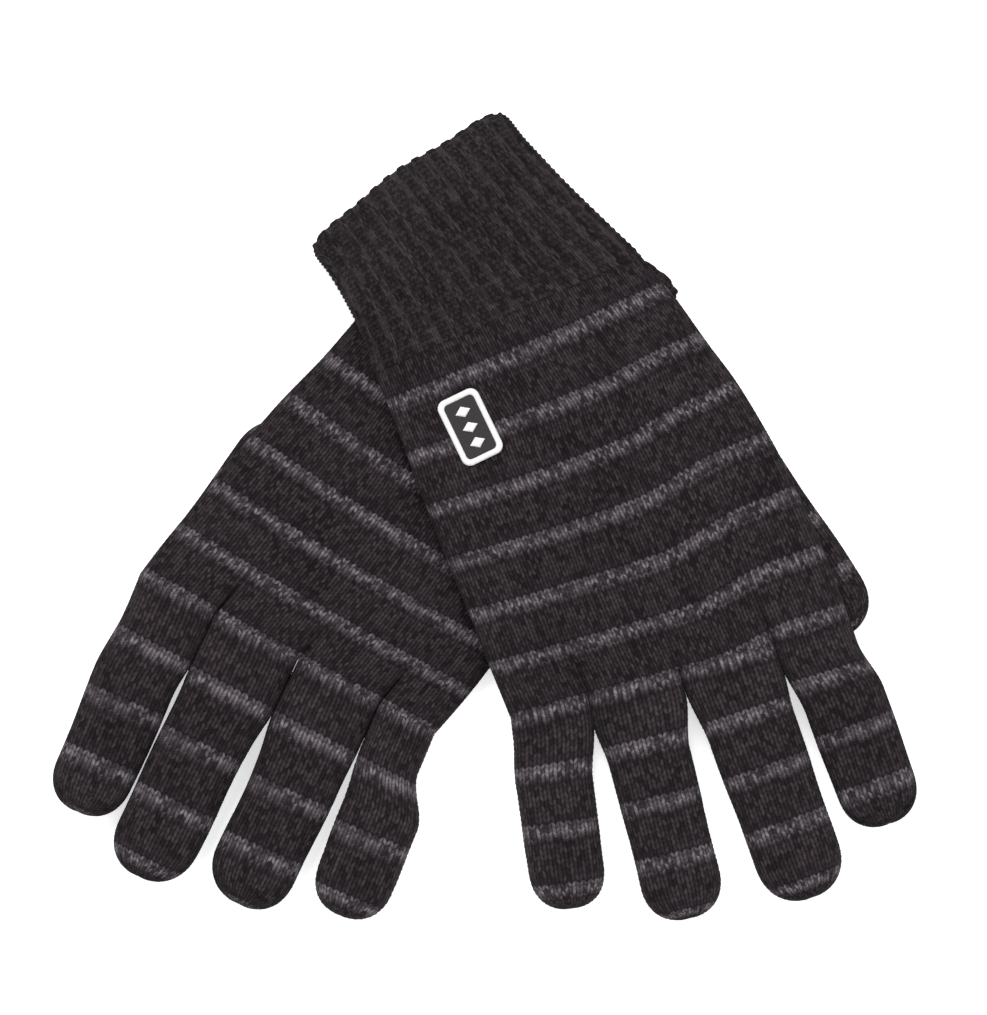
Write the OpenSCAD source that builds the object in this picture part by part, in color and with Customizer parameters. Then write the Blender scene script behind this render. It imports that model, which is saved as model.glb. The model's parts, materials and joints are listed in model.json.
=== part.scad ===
// A pair of knitted touchscreen gloves lying palm down, the right glove across the left.
// Every soft piece is a closed shell of fabric, laid out on a chart (u, v) of its glove:
// u runs from the little finger side to the thumb side, v from the wrist to the fingertips.
// Lists with two values hold the left glove first and the right glove second.

/* [Fabric] */
// Thickness of the knitted fabric
fabric_t = 2; // [1.6:0.1:2.4]
// Height of the hand, a finger and the cuff lying flat
glove_t = 12; // [11:0.5:14]
// Height of the thumb, which lies flat under the palm
thumb_t = 10; // [9:0.5:11]

/* [Cuff] */
// Length of each ribbed cuff
cuff_l = [49, 52]; // [40:1:70]
// Flat width of the cuff at its open end
cuff_end_w = 69; // [60:1:80]
// Turn of each cuff's open end against its hand, in degrees
cuff_turn = [0, 9]; // [0:1:14]
// Diameter of an elastic thread in the cuff's edge
elastic_d = 0.9; // [0.6:0.1:1.2]

/* [Hand] */
// Length from the wrist to the knuckles in the middle of each hand
hand_l = [109, 117]; // [95:1:125]
// Flat width of each glove at the wrist
wrist_w = [74, 86]; // [70:1:95]
// Flat width of each glove at the knuckles
knuckle_w = [100, 105]; // [95:1:110]
// Slope of each line of knuckles, which is higher on the index side, in degrees
knuckle_slope = [6, 10]; // [0:1:12]

/* [Fingers, from index to little] */
// Lengths of the left fingers from the knuckles
left_finger_l = [72, 80, 73, 62]; // [50:1:90]
// Lengths of the right fingers from the knuckles
right_finger_l = [62, 77, 73, 61]; // [50:1:90]
// Flat widths of the left fingers
left_finger_w = [25.2, 27, 26.8, 24.8]; // [20:0.2:27]
// Flat widths of the right fingers
right_finger_w = [25.2, 27.6, 25.4, 24]; // [20:0.2:28]
// Lean of the left fingers towards the little finger side, in degrees
left_finger_lean = [11, 8, 10, 12]; // [0:1:25]
// Lean of the right fingers towards the little finger side, in degrees
right_finger_lean = [6, 6, 12, 18]; // [0:1:25]

/* [Thumb] */
// Flat width of the thumb
thumb_w = 27; // [22:0.5:28]
// Length of the thumb from the middle of its root
thumb_l = 65; // [50:1:70]
// Lean of each thumb away from its hand, in degrees
thumb_lean = [1, 8]; // [-4:1:8]

/* [Touch tips] */
// Length of the conductive knit on an index finger
index_cap_l = 17; // [12:1:24]
// Length of the conductive knit on a thumb
thumb_cap_l = 20; // [12:1:26]

/* [Badge] */
// Width and length of the embroidered badge
badge_size = [13, 21]; // [10:0.5:24]

/* [Lay] */
// Angle of each glove's fingertips from straight down the page, in degrees
lay_angle = [34.5, 25.8]; // [15:0.1:45]

/* [Hidden] */
LEFT = 0;
RIGHT = 1;
FINGERS = ["index", "middle", "ring", "little"];

// Clearances between pieces
joint_gap = 0.5;
layer_gap = 1;
thread_gap = 0.9;

// Wrist centres on the page, from the centre of the pair
wrist_at = [[2.9, 48.0], [7.3, 59.1]];
// How far the middle of each hand swings towards its index side
hand_shift = [-3, 2.8];
// Middles of the finger roots across each hand, from index to little
root_u = [[38.8, 10.4, -17.5, -44.2], [42.8, 14, -14.7, -41.4]];
// Middle of each thumb's root on its hand, and the radius of the way into it
thumb_root = [[34.5, 66], [40, 66]];
thumb_hole_r = 7;

// Share of a flat tube's height at which its folded sides lie
side_z = 0.35;
// Roundness of a tube's section: 2 is an ellipse, more is squarer
section_power = 2.6;
// Share of the width over which the underside is curved up to the sides
under_reach = 0.5;
// A finger narrows to this share of its width before the tip
finger_taper = 0.93;
// The rounded end of a tube reaches this share of its round, and its height falls more slowly
round_reach = 0.97;
cuff_edge_t = 10;
// Shares of the cuff's length, from the wrist, at which the elastic threads run.
// They lie between the cuff's last two stations.
elastic_at = [0.84, 0.9, 0.96];
last_station = 0.8;
// The cuff widens towards the hand faster than in a straight line
cuff_flare = 2.4;

badge_uv = [-25, 25];
badge_patch_t = 0.6;
badge_thread_t = 0.5;
badge_border = 1.4;
badge_r = 2.5;
badge_gap = 0.4;
// Clearance between the badge's cloth and the stitching on it
stitch_gap = 0.15;
diamond_w = 5;
diamond_l = 3.6;
diamond_pitch = 5;

label_w = 16;
label_l = 26;
label_t = 0.5;
label_gap = 0.5;

web_tack_r = 1;

// A glove rises over its thumb between these runs up it, and comes down between these ones
lift_up = [26, 50];
lift_down = [128, 168];
// Across the glove it tilts from its little finger side to above the thumb
lift_across = [-40, 30];
// The upper glove comes down off the lower one over this run beyond the lower one's outline
drape = [-3, 30];
// Share of the hand's length at which it has its full width
full_width_at = 0.75;

yarn_dark = [0.16, 0.15, 0.155];
yarn_cuff = [0.15, 0.14, 0.145];
yarn_touch = [0.24, 0.235, 0.25];
thread_white = [0.93, 0.93, 0.92];
label_grey = [0.55, 0.55, 0.56];
elastic_black = [0.08, 0.08, 0.09];

function finger_l(g) = g == LEFT ? left_finger_l : right_finger_l;
function finger_w(g) = g == LEFT ? left_finger_w : right_finger_w;
function finger_lean(g) = g == LEFT ? left_finger_lean : right_finger_lean;
function side_name(g) = g == LEFT ? "left" : "right";

// A smooth step from 0 at a to 1 at b
function smooth(x) = let (t = min(1, max(0, x))) t * t * (3 - 2 * t);
function ramp(x, a, b) = smooth((x - a) / (b - a));

// From a glove's chart to the page and back. The right chart is the left one mirrored.
function page_turn(g) = g == LEFT ? 180 - lay_angle[g] : 180 + lay_angle[g];
function hand_sign(g) = g == LEFT ? 1 : -1;
function to_page(g, u, v) =
    let (x = hand_sign(g) * u, a = page_turn(g))
    [wrist_at[g][0] + x * cos(a) - v * sin(a), wrist_at[g][1] + x * sin(a) + v * cos(a)];
function to_chart(g, p) =
    let (d = p - wrist_at[g], a = page_turn(g))
    [hand_sign(g) * (d[0] * cos(a) + d[1] * sin(a)), -d[0] * sin(a) + d[1] * cos(a)];

// Flat width of a hand at a distance from its wrist
function hand_w(g, v) =
    let (w0 = wrist_w[g], w1 = knuckle_w[g])
    v < 0 ? w0 + (w0 - cuff_end_w) * v / cuff_l[g]
          : w0 + (w1 - w0) * sin(90 * min(1, v / (full_width_at * hand_l[g])));

// How far the fabric is lifted off the table by the thumb that lies under the palm
function thumb_lift(g, u, v) =
    (thumb_t + layer_gap) * min(1, max(0, (u - lift_across[0]) / (lift_across[1] - lift_across[0])))
    * ramp(v, lift_up[0], lift_up[1]) * (1 - ramp(v, lift_down[0], lift_down[1]));

// How far the right glove is lifted by the left glove under it
function glove_lift(p) =
    let (c = to_chart(LEFT, p),
         side = abs(c[0]) - hand_w(LEFT, c[1]) / 2,
         end = max(-cuff_l[LEFT] - c[1], c[1] - hand_l[LEFT] - 10),
         outside = norm([max(0, side), max(0, end)]) + min(0, max(side, end)))
    (glove_t + layer_gap + thumb_lift(LEFT, c[0], c[1])) * (1 - ramp(outside, drape[0], drape[1]));

function base_z(g, u, v) =
    let (own = thumb_lift(g, u, v))
    g == LEFT ? own : pow(pow(own, 3) + pow(glove_lift(to_page(g, u, v)), 3), 1 / 3);

// Section of a flat tube as [across, height] points, with a flat underside
function section(w, t, n, turn) = [
    for (i = [0:n - 1])
        let (a = turn * 360 * i / n, c = cos(a), s = sin(a), e = side_z * t)
        [sign(c) * w / 2 * pow(abs(c), 2 / section_power),
         s >= 0 ? e + (t - e) * pow(s, 2 / section_power)
                : e * (1 - pow(min(1, -s / under_reach), 2 / section_power))]
];

// One ring of a tube: a section stood on its glove at chart point (u, v), facing along heading.
// A station is [u, v, heading, width, height, height of its underside over the base].
function ring(g, st, n, inset, lifted) = [
    for (q = section(st[3] - 2 * inset, st[4] - 2 * inset, n, hand_sign(g)))
        let (u = st[0] + q[0] * cos(st[2]),
             v = st[1] - q[0] * sin(st[2]),
             p = to_page(g, u, v))
        [p[0], p[1], q[1] + inset + st[5] + (lifted ? base_z(g, u, v) : 0)]
];

function flat(lists) = [for (l = lists) for (x = l) x];

// Side faces between rings m and m + 1 of n points each, from point index first
function side_faces(first, m, n, out) = flat([
    for (i = [0:n - 1])
        let (j = (i + 1) % n,
             a = first + m * n + i, b = first + m * n + j,
             c = first + (m + 1) * n + j, d = first + (m + 1) * n + i)
        out ? [[a, b, c], [a, c, d]] : [[a, c, b], [a, d, c]]
]);

function lip_faces(a0, b0, n, out) = flat([
    for (i = [0:n - 1])
        let (j = (i + 1) % n, a = a0 + i, b = a0 + j, c = b0 + j, d = b0 + i)
        out ? [[a, b, c], [a, c, d]] : [[a, c, b], [a, d, c]]
]);

function disc_faces(first, n, out) = [
    for (i = [1:n - 2]) out ? [first, first + i, first + i + 1] : [first, first + i + 1, first + i]
];

// A shell of fabric through outer stations and, inside them, inner stations.
// A closed end is capped outside and inside, and an open one has a lip.
module shell(g, outer, inner, n, start_open, end_open, lifted = true) {
    m = len(outer);
    k = len(inner);
    inner_at = m * n;
    points = concat(flat([for (st = outer) ring(g, st, n, 0, lifted)]),
                    flat([for (st = inner) ring(g, st, n, fabric_t, lifted)]));
    faces = concat(
        flat([for (i = [0:m - 2]) side_faces(0, i, n, true)]),
        flat([for (i = [0:k - 2]) side_faces(inner_at, i, n, false)]),
        start_open ? lip_faces(0, inner_at, n, false)
                   : concat(disc_faces(0, n, false), disc_faces(inner_at, n, true)),
        end_open ? lip_faces((m - 1) * n, inner_at + (k - 1) * n, n, true)
                 : concat(disc_faces((m - 1) * n, n, true),
                          disc_faces(inner_at + (k - 1) * n, n, false)));
    polyhedron(points = points, faces = faces);
}

// --- Hand and cuff ---

// Stations down the hand. The rings turn from the wrist line to the line of knuckles.
function wrist_heading(g) = -cuff_turn[g] / 4;
function hand_station(g, f) =
    let (v = f * hand_l[g], heading = wrist_heading(g) + (-knuckle_slope[g] - wrist_heading(g)) * f)
    [hand_shift[g] * sin(180 * f), v, heading, hand_w(g, v), glove_t, 0];
function hand_stations(g) = [for (f = [0, 0.1, 0.22, 0.36, 0.5, 0.64, 0.78, 0.9, 1]) hand_station(g, f)];

module hand(g) {
    color(yarn_dark)
        difference() {
            shell(g, hand_stations(g), hand_stations(g), 24, true, true);
            translate(concat(to_page(g, thumb_root[g][0], thumb_root[g][1]), [thumb_t - 1]))
                cylinder(r = thumb_hole_r, h = layer_gap + fabric_t + 3, $fn = 48);
        }
}

// Stations up the cuff from the wrist, bent so that its end faces along cuff_turn
function cuff_station(g, f) =
    let (s = f * cuff_l[g] + joint_gap, turn = cuff_turn[g])
    [-s * sin(turn), -s * cos(turn), wrist_heading(g) + (turn - wrist_heading(g)) * min(1, 1.6 * f),
     cuff_end_w + (wrist_w[g] - cuff_end_w) * pow(1 - f, cuff_flare), glove_t + (cuff_edge_t - glove_t) * f, 0];
function cuff_stations(g) = [for (f = [1, last_station, 0.6, 0.4, 0.2, 0]) cuff_station(g, f)];

module cuff(g) {
    color(yarn_cuff)
        shell(g, cuff_stations(g), cuff_stations(g), 24, true, true);
}

// Elastic threads laid round the inside of the cuff's edge, each a closed loop of round section
module elastic_loop(g, f) {
    n = 24;
    sides = 6;
    r = elastic_d / 2;
    inset = fabric_t + r + thread_gap;
    near = ring(g, cuff_station(g, last_station), n, inset, true);
    far = ring(g, cuff_station(g, 1), n, inset, true);
    line = near + (far - near) * (f - last_station) / (1 - last_station);
    along = cuff_station(g, 1) - cuff_station(g, 0);
    way = to_page(g, along[0], along[1]) - to_page(g, 0, 0);
    axis = concat(way, [0]) / norm(way);
    points = flat([
        for (i = [0:n - 1])
            let (run = line[(i + 1) % n] - line[(i + n - 1) % n], out = cross(run, axis))
            [for (j = [0:sides - 1])
                let (a = j * 360 / sides) line[i] + r * (axis * cos(a) + out / norm(out) * sin(a))]
    ]);
    faces = flat([
        for (i = [0:n - 1]) for (j = [0:sides - 1])
            let (a = i * sides + j, b = i * sides + (j + 1) % sides,
                 c = ((i + 1) % n) * sides + (j + 1) % sides, d = ((i + 1) % n) * sides + j)
            [[a, c, b], [a, d, c]]
    ]);
    polyhedron(points = points, faces = faces);
}

module cuff_elastic(g) {
    color(elastic_black)
        for (f = elastic_at)
            elastic_loop(g, f);
}

// Thread tacks that close the hand between the fingers
module web_tacks(g) {
    color(yarn_dark)
        for (i = [0:2]) {
            u = (root_u[g][i] + root_u[g][i + 1]) / 2;
            v = hand_l[g] + u * tan(knuckle_slope[g]) - 4;
            p = to_page(g, u, v);
            translate([p[0], p[1], base_z(g, u, v) + fabric_t + 0.3])
                cylinder(r = web_tack_r, h = glove_t - 2 * fabric_t - 1.2, $fn = 24);
        }
}

// --- Fingers ---

// Where a finger hinges on the hand: far enough out for its square end to clear the knuckles
function finger_start(g, i) =
    finger_w(g)[i] / 2 * tan(abs(finger_lean(g)[i] - knuckle_slope[g])) + joint_gap;
function finger_at(g, i, s) =
    let (u = root_u[g][i], v = hand_l[g] + u * tan(knuckle_slope[g]), a = finger_lean(g)[i])
    [u - s * sin(a), v + s * cos(a)];
function finger_fold(g, i) = 0.5 * finger_l(g)[i];

// Width of a tube of length l at distance s, with a rounded end as long as half its width
function round_share(s, l, w) =
    let (x = max(0, s - (l - w / 2)) / (w / 2)) sqrt(1 - pow(min(round_reach, x), 2));
function finger_station(g, i, s, l) =
    let (w = finger_w(g)[i], c = finger_at(g, i, s), f = round_share(s, l, w),
         t = glove_t * sqrt(f))
    [c[0], c[1], -finger_lean(g)[i], w * (1 - (1 - finger_taper) * s / finger_l(g)[i]) * f,
     t, (glove_t - t) * side_z];

// Distances along a tube of length l and width w from s0 to its rounded end
function round_steps(s0, l, w) =
    concat(s0 < l - w / 2 ? [s0, (s0 + l - w / 2) / 2] : [s0],
           [for (x = [0, 0.35, 0.6, 0.8, 0.92, 1]) if (l - w / 2 + x * w / 2 > s0 + 0.5) l - w / 2 + x * w / 2]);

module finger_base(g, i) {
    s0 = finger_start(g, i);
    s1 = finger_fold(g, i) - joint_gap;
    steps = [for (k = [0:3]) s0 + (s1 - s0) * k / 3];
    stations = [for (s = steps) finger_station(g, i, s, finger_l(g)[i])];
    color(yarn_dark)
        shell(g, stations, stations, 16, true, true);
}

// The outer half of a finger. On the index finger it stops where the touch cap starts.
module finger_tip(g, i) {
    l = finger_l(g)[i];
    s0 = finger_fold(g, i);
    color(yarn_dark)
        if (i == 0) {
            s1 = l - index_cap_l;
            stations = [for (k = [0:2]) finger_station(g, i, s0 + (s1 - s0) * k / 2, l)];
            shell(g, stations, stations, 16, true, true);
        } else {
            w = finger_w(g)[i];
            shell(g, [for (s = round_steps(s0, l, w)) finger_station(g, i, s, l)],
                  [for (s = round_steps(s0, l - fabric_t, w)) finger_station(g, i, s, l - fabric_t)],
                  16, true, false);
        }
}

module index_touch_cap(g) {
    l = finger_l(g)[0];
    w = finger_w(g)[0];
    s0 = l - index_cap_l;
    color(yarn_touch)
        shell(g, [for (s = round_steps(s0, l, w)) finger_station(g, 0, s, l)],
              [for (s = round_steps(s0, l - fabric_t, w)) finger_station(g, 0, s, l - fabric_t)],
              16, true, false);
}

// --- Thumb, flat on the table under the palm ---

function thumb_station(g, s, l) =
    let (a = thumb_lean[g], root = thumb_w / 2,
         f = min(round_share(s, l, thumb_w), round_share(-s, root, thumb_w)), t = thumb_t * sqrt(f))
    [thumb_root[g][0] + s * sin(a), thumb_root[g][1] + s * cos(a), a, thumb_w * f,
     t, (thumb_t - t) * side_z];
function root_steps(r) = [for (x = [1, 0.9, 0.75, 0.5, 0.25, 0]) -r * x];

module thumb(g) {
    s1 = thumb_l - thumb_cap_l;
    root = thumb_w / 2;
    color(yarn_dark)
        difference() {
            shell(g, [for (s = concat(root_steps(root), [s1 / 2, s1])) thumb_station(g, s, thumb_l)],
                  [for (s = concat(root_steps(root - fabric_t), [s1 / 2, s1])) thumb_station(g, s, thumb_l)],
                  16, false, true, false);
            translate(concat(to_page(g, thumb_root[g][0], thumb_root[g][1]), [thumb_t - fabric_t - 1]))
                cylinder(r = thumb_hole_r, h = fabric_t + 3, $fn = 48);
        }
}

module thumb_touch_cap(g) {
    s0 = thumb_l - thumb_cap_l;
    color(yarn_touch)
        shell(g, [for (s = round_steps(s0, thumb_l, thumb_w)) thumb_station(g, s, thumb_l)],
              [for (s = round_steps(s0, thumb_l - fabric_t, thumb_w)) thumb_station(g, s, thumb_l - fabric_t)],
              16, true, false, false);
}

// --- Trim on the right glove ---

// Height of the top of a hand, without its base, at a distance u from its middle
function back_z(g, u, v) =
    let (e = side_z * glove_t, x = abs(u - hand_shift[g] * sin(180 * v / hand_l[g])) / (hand_w(g, v) / 2))
    base_z(g, u, v) + e + (glove_t - e) * pow(1 - pow(x, section_power), 1 / section_power);

// A point on the back of the right hand, at [x, y] from the badge's middle and height h
function on_back(p, h) =
    let (u = badge_uv[0] + p[0], v = badge_uv[1] - p[1])
    concat(to_page(RIGHT, u, v), [back_z(RIGHT, u, v) + badge_gap + h]);

// Outline of a rectangle with round corners, anticlockwise
function rounded_outline(w, l, r) = [
    for (q = [[1, 1, 0], [-1, 1, 90], [-1, -1, 180], [1, -1, 270]])
        for (a = [0:15:90])
            [q[0] * (w / 2 - r) + r * cos(q[2] + a), q[1] * (l / 2 - r) + r * sin(q[2] + a)]
];

// A band that follows the back of the hand, between an outline and a smaller copy of it
module band_on_back(outer, inner, h0, h1) {
    n = len(outer);
    points = concat([for (p = outer) on_back(p, h0)], [for (p = outer) on_back(p, h1)],
                    [for (p = inner) on_back(p, h1)], [for (p = inner) on_back(p, h0)]);
    polyhedron(points = points, faces = [
        for (k = [0:3]) for (i = [0:n - 1])
            let (j = (i + 1) % n, k2 = (k + 1) % 4, a = k * n + i, b = k * n + j)
            each [[a, k2 * n + j, b], [a, k2 * n + i, k2 * n + j]]
    ]);
}

// A plate that follows the back of the hand, inside an outline drawn about the point at
module plate_on_back(outline, at, h0, h1) {
    n = len(outline);
    shares = [0.4, 0.7, 1];
    m = len(shares);
    points = [for (h = [h0, h1]) each
        concat([on_back(at, h)], [for (x = shares) for (p = outline) on_back(at + x * p, h)])];
    top = 1 + m * n;
    edge = 1 + (m - 1) * n;
    polyhedron(points = points, faces = [
        for (i = [0:n - 1])
            let (j = (i + 1) % n)
            each concat(
                [[0, 1 + i, 1 + j], [top, top + 1 + j, top + 1 + i]],
                [for (k = [0:m - 2]) let (a = 1 + k * n + i, b = 1 + k * n + j) each
                    [[a, b + n, b], [a, a + n, b + n], [top + a, top + b, top + b + n],
                     [top + a, top + b + n, top + a + n]]],
                [[edge + i, top + edge + j, edge + j], [edge + i, top + edge + i, top + edge + j]])
    ]);
}

module badge_patch() {
    color(yarn_dark)
        plate_on_back(rounded_outline(badge_size[0], badge_size[1], badge_r), [0, 0], 0, badge_patch_t);
}

// A white border with a column of three diamonds inside it
module badge_embroidery() {
    h0 = badge_patch_t + stitch_gap;
    h1 = h0 + badge_thread_t;
    color(thread_white) {
        band_on_back(
            rounded_outline(badge_size[0], badge_size[1], badge_r),
            rounded_outline(badge_size[0] - 2 * badge_border, badge_size[1] - 2 * badge_border,
                            badge_r - badge_border / 2), h0, h1);
        for (y = [-1, 0, 1] * diamond_pitch)
            plate_on_back([for (a = [0:90:270]) [diamond_w / 2 * cos(a), diamond_l / 2 * sin(a)]],
                          [0, y], h0, h1);
    }
}

// Satin care label inside the right cuff, sewn in across its width
module care_label() {
    n = 6;
    mid = cuff_station(RIGHT, 0.48);
    h = mid[2];
    points = [for (k = [0:n]) for (q = [[-1, 0], [1, 0], [1, 1], [-1, 1]])
        let (a = q[0] * label_w / 2, b = (k / n - 0.5) * label_l,
             u = mid[0] + a * cos(h) + b * sin(h), v = mid[1] - a * sin(h) + b * cos(h))
        concat(to_page(RIGHT, u, v),
               [base_z(RIGHT, u, v) + fabric_t + label_gap + q[1] * label_t])];
    color(label_grey)
        polyhedron(points = points, faces = concat(
            [[0, 1, 2, 3], [4 * n, 4 * n + 3, 4 * n + 2, 4 * n + 1]],
            [for (k = [0:n - 1]) for (i = [0:3])
                let (a = 4 * k + i, b = 4 * k + (i + 1) % 4) each [[a, b + 4, b], [a, a + 4, b + 4]]]));
}

// --- Nodes ---

function glove_nodes(s) = concat(
    [str(s, "_cuff"), str(s, "_cuff_elastic"), str(s, "_hand"), str(s, "_web_tacks")],
    [for (f = FINGERS) each [str(s, "_", f, "_base"), str(s, "_", f, "_tip")]],
    [str(s, "_index_touch_cap"), str(s, "_thumb"), str(s, "_thumb_touch_cap")]);

for (g = [LEFT, RIGHT]) {
    s = side_name(g);
    cuff(g);
    cuff_elastic(g);
    hand(g);
    web_tacks(g);
    for (i = [0:3]) {
        finger_base(g, i);
        finger_tip(g, i);
    }
    index_touch_cap(g);
    thumb(g);
    thumb_touch_cap(g);
}
badge_patch();  // right_badge_patch
badge_embroidery();  // right_badge_embroidery
care_label();  // right_care_label
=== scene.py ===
"""The look of the pair of knitted touchscreen gloves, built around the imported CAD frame.

Each glove has a flat chart (u, v) in millimetres: u runs from the little finger side to the
thumb side and v from the wrist to the fingertips. Every knitted piece is a closed tube of
stitches on that chart: rings of points, resampled so that each ring holds the same wales,
and pushed out along the surface's normal by the shape of the stitches.
"""
import json
import math

import bpy
import numpy as np
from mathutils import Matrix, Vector


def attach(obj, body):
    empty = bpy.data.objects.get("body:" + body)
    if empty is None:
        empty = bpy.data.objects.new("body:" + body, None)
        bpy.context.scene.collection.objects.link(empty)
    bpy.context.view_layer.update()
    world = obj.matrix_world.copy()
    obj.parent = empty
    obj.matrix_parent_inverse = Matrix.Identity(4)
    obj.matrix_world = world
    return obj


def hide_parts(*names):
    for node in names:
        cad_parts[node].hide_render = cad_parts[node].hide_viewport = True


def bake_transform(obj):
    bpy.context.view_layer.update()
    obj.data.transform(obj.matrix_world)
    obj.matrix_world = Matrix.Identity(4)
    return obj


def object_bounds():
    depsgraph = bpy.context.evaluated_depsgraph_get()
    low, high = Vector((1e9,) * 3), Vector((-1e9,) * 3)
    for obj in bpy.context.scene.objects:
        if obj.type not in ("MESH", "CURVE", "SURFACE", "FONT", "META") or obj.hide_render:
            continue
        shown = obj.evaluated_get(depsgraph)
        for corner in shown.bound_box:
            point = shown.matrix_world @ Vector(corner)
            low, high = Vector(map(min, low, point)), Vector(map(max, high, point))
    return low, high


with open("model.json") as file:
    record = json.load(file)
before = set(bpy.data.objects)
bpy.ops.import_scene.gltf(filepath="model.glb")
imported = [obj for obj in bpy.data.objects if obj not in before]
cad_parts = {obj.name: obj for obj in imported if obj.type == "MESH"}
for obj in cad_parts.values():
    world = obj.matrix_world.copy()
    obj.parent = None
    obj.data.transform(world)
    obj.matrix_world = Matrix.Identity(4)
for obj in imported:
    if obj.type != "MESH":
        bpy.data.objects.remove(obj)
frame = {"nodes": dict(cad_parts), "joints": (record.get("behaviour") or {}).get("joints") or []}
cad_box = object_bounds()

MM = 0.001
LEFT, RIGHT = 0, 1
SIDES = ("left", "right")
FINGERS = ("index", "middle", "ring", "little")
JOINTS = {j["name"]: j for j in frame["joints"]}

# --- The gloves' driving sizes, as the CAD part has them, left glove first, in mm and degrees ---
FABRIC_T = 2.0
GLOVE_T = 12.0
THUMB_T = 10.0
LAYER_GAP = 1.0
JOINT_GAP = 0.5
SIDE_Z = 0.35
POWER = 2.6
UNDER_REACH = 0.5
LAY_ANGLE = (34.5, 25.8)
WRIST_AT = ((2.9, 48.0), (7.3, 59.1))
HAND_L = (109.0, 117.0)
HAND_SHIFT = (-3.0, 2.8)
WRIST_W = (74.0, 86.0)
KNUCKLE_W = (100.0, 105.0)
KNUCKLE_SLOPE = (6.0, 10.0)
CUFF_L = (49.0, 52.0)
CUFF_END_W = 69.0
CUFF_EDGE_T = 10.0
CUFF_FLARE = 2.4
CUFF_TURN = (0.0, 9.0)
ROOT_U = ((38.8, 10.4, -17.5, -44.2), (42.8, 14.0, -14.7, -41.4))
FINGER_L = ((72.0, 80.0, 73.0, 62.0), (62.0, 77.0, 73.0, 61.0))
FINGER_W = ((25.2, 27.0, 26.8, 24.8), (25.2, 27.6, 25.4, 24.0))
FINGER_LEAN = ((11.0, 8.0, 10.0, 12.0), (6.0, 6.0, 12.0, 18.0))
FINGER_TAPER = 0.93
INDEX_CAP_L = 17.0
THUMB_ROOT = ((34.5, 66.0), (40.0, 66.0))
THUMB_W = 27.0
THUMB_L = 65.0
THUMB_CAP_L = 20.0
THUMB_LEAN = (1.0, 8.0)
BADGE_UV = (-25.0, 25.0)
BADGE_SIZE = (13.0, 21.0)
WIDEST_AT = 0.75              # share of the hand's length at which it has its full width
LIFT_ACROSS = (-40.0, 30.0)   # across the hand, the thumb under it lifts it more from u to u,
LIFT_UP = (26.0, 50.0)        # starting between these distances from the wrist
LIFT_DOWN = (128.0, 168.0)    # and ending between these
DRAPE = (-3.0, 30.0)          # distances outside the left glove over which the right one comes down
DRAPE_FINGERS = 10.0          # length of the left fingers that counts with its hand

# --- The knitting ---
WALE = 2.1          # width of one stitch
COURSE = 1.6        # height of one row of stitches
COLS = 6            # mesh columns in a wale
ROWS = 4            # mesh rows in a course
RELIEF = 0.62       # how far a stitch stands out of the fabric
TUCK = 1.6          # how far a tube's end is tucked under the tube before it
LIP = ((1.0, 0.9), (0.65, 0.5), (0.3, 0.15))   # shares of the tuck, and of how deep it goes
TUCK_IN = 0.9
SAMPLES = 720       # points round a ring before it is resampled
STRIPE_ROWS = 11    # rows from one stripe to the next
STRIPE_START = (0.0, 1.8)     # fabric length of a stripe beside the knuckles
LENGTH_START = 200.0          # added to the fabric's lengths, so that they are all positive
PALM_STRETCH = (1.093, 0.983)     # fabric length to laid length, on the hand
FINGER_STRETCH = (0.926, 0.995)   # and on the fingers
INDEX_LAG = (0.5, 4.6)        # how far the rows lag on the index finger's side
RIB = 4             # wales in one rib: two raised, two sunk
RIB_RELIEF = 1.5
RIB_WALE = 1.6
RIB_SLOPE = 0.12    # share of a rib over which it rises from its sunk wales
RIB_SINK = 0.6      # share of the ribs' relief that lies below the fabric's surface
RIB_STITCH = 0.6    # share of a stitch's relief on a rib
PURL_BAR = 0.3      # and that of the purl bars between the ribs
LEG_AT = 0.25       # distance of a leg's crest from the middle of its wale
LEG_HALF = 0.27     # half a leg's width
LEG_ROUND = 0.8
LEG_SLANT = 1.1     # rows a leg climbs in the width of a wale
LEG_SIZE = (0.82, 0.36)       # the smallest leg, and how much bigger the biggest is
LEG_ENDS = 0.3      # height of a leg's ends to that of its middle
STITCH_SINK = 0.55  # share of the relief that lies below the fabric's surface
SAG_DEPTH = 0.22    # how far the fabric sags and swells
TABLE_GAP = 0.05    # the lowest a stitch may lie over the table
LIP_STEP = 0.5      # how much higher a lip's underside lies, to the depth it is set in
HAND_ROUND = 2.06   # length of fabric round a flat tube to the tube's width, on the hand
FINGER_ROUND = 2.16
FADE_L = 2.5        # length over which the stitches fade out at a closed tip,
FADE_LEAST = 0.15   # and what is left of them there
TIP_LEFT = 0.12     # angle short of a quarter turn at which a tip is closed


def smooth(x):
    t = np.clip(x, 0, 1)
    return t * t * (3 - 2 * t)


def ramp(x, a, b):
    return smooth((x - a) / (b - a))


# --- Charts: the same rules as the CAD part, so the fabric lies where its solids lie ---

def page_turn(g):
    return math.radians(180 - LAY_ANGLE[g] if g == LEFT else 180 + LAY_ANGLE[g])


def hand_sign(g):
    return 1 if g == LEFT else -1


def to_page(g, u, v):
    x, a = hand_sign(g) * u, page_turn(g)
    return (WRIST_AT[g][0] + x * math.cos(a) - v * math.sin(a),
            WRIST_AT[g][1] + x * math.sin(a) + v * math.cos(a))


def to_chart(g, x, y):
    dx, dy, a = x - WRIST_AT[g][0], y - WRIST_AT[g][1], page_turn(g)
    return (hand_sign(g) * (dx * math.cos(a) + dy * math.sin(a)),
            -dx * math.sin(a) + dy * math.cos(a))


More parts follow.
